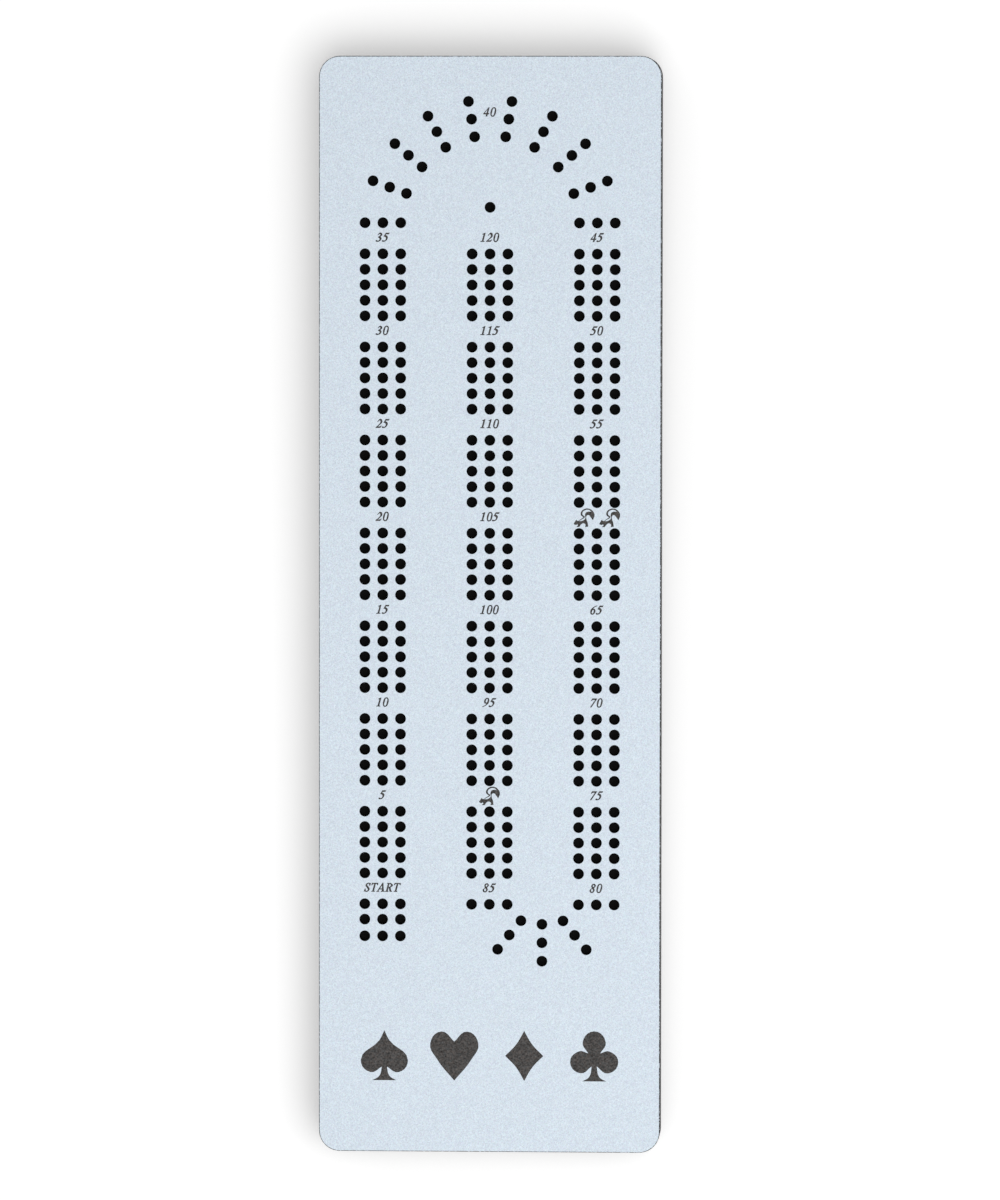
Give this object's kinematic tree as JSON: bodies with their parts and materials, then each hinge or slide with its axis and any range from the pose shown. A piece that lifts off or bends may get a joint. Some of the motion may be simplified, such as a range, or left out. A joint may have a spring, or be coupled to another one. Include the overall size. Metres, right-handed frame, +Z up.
{
  "type": "cribbage board",
  "caption": "Long flat cribbage board with a three-lane continuous track of blind peg holes, rubber feet, and a peg store underneath behind a swinging steel cover.",
  "frame": {"origin": "on the table under the middle of the board, at the underside of the rubber feet", "axes": "+X to the right across the board, +Y along the board towards the finish end of the track, +Z up out of the playing face"},
  "size_m": [0.095, 0.3048, 0.017],
  "materials": {
    "face_sheet": "pale blue matte face sheet with a fine pebble grain, engraved through to the dark core",
    "panel_core": "charcoal matte core",
    "cover_steel": "brushed thin sheet steel",
    "zinc": "zinc plated fastener",
    "rubber": "black rubber",
    "peg_brass": "turned and polished brass",
    "peg_silver": "turned and polished nickel",
    "peg_black": "turned, black plated"
  },
  "bodies": {
    "board": {"playing_board": "face_sheet", "storage_panel": "panel_core", "pivot_screw": "zinc", "keeper_screw": "zinc", "pivot_washer": "zinc", "keeper_washer": "zinc", "foot_1": "rubber", "foot_2": "rubber", "foot_3": "rubber", "foot_4": "rubber", "peg_brass_1": "peg_brass", "peg_brass_2": "peg_brass", "peg_brass_3": "peg_brass", "peg_silver_1": "peg_silver", "peg_silver_2": "peg_silver", "peg_silver_3": "peg_silver", "peg_black_1": "peg_black", "peg_black_2": "peg_black", "peg_black_3": "peg_black"},
    "cover": {"cover_plate": "cover_steel"}
  },
  "joints": [
    {"name": "cover_swing", "type": "hinge", "parent": "board", "child": "cover", "pos_m": [0, 0.056, 0.0036], "axis": [0, 0, 1], "range_deg": [0, 145]}
  ]
}
